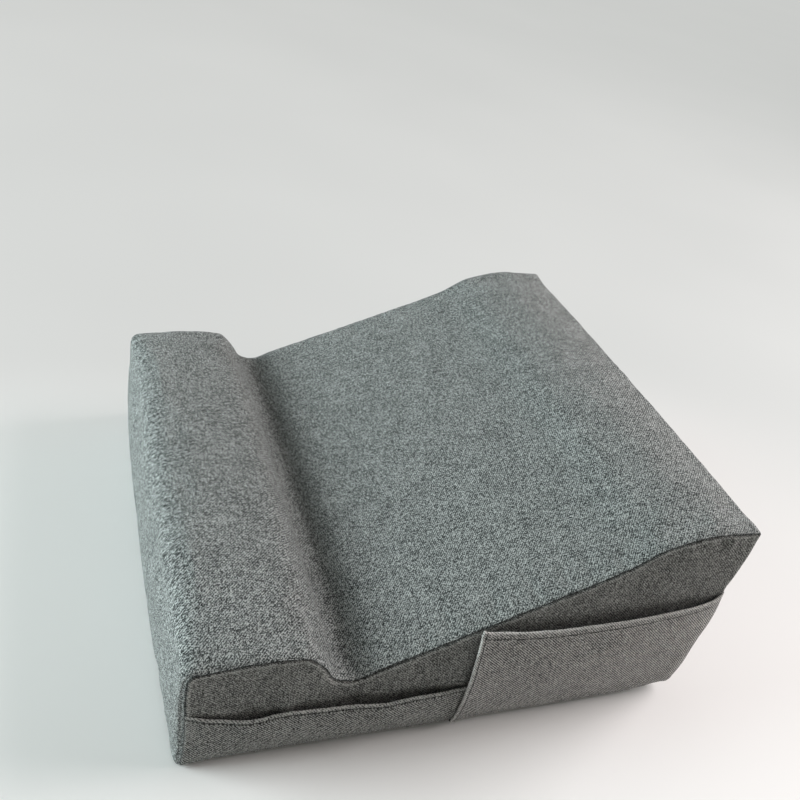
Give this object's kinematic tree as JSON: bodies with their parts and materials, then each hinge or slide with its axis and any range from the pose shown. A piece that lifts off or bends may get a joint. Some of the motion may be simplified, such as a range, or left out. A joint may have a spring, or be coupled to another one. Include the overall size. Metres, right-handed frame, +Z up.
{
  "type": "laptop pillow",
  "caption": "Foam-filled laptop pillow with a wrist rest, a notch and a slope, in a zipped grey fabric cover with open pockets on its right side.",
  "frame": {"origin": "centre of the bounding box at the height of the underside, on the surface the pillow rests on", "axes": "+X to the user's right, where the pockets are; +Y to the high back; +Z up"},
  "size_m": [0.3172, 0.3331, 0.1423],
  "materials": {
    "foam": "open-cell foam, matte",
    "cover_cloth": "melange twill, matte",
    "zip_tape": "woven tape, matte",
    "zip_coil": "moulded nylon, satin",
    "zip_metal": "dark grey, satin"
  },
  "bodies": {
    "pillow": {"foam_core": "foam", "top_panel": "cover_cloth", "bottom_panel": "cover_cloth", "back_panel_upper": "cover_cloth", "back_panel_lower": "cover_cloth", "side_panel_left": "cover_cloth", "side_panel_right": "cover_cloth", "front_pocket": "cover_cloth", "rear_pocket": "cover_cloth", "zip_tape_upper": "zip_tape", "zip_tape_lower": "zip_tape", "zip_coil_upper": "zip_coil", "zip_coil_lower": "zip_coil", "zip_top_stop_upper": "zip_metal", "zip_top_stop_lower": "zip_metal", "zip_bottom_stop": "zip_metal"},
    "slider": {"zip_slider": "zip_metal"},
    "pull": {"zip_pull_tab": "zip_metal"}
  },
  "joints": [
    {"name": "zip_slide", "type": "slide", "parent": "pillow", "child": "slider", "axis": [-1, 0, 0], "range_m": [0, 0.256], "deforming": ["zip_coil_upper", "zip_coil_lower"]},
    {"name": "pull_hinge", "type": "hinge", "parent": "slider", "child": "pull", "pos_m": [0.12595, 0.1634, 0.026], "axis": [0, 0, -1], "range_deg": [0, 175]}
  ]
}
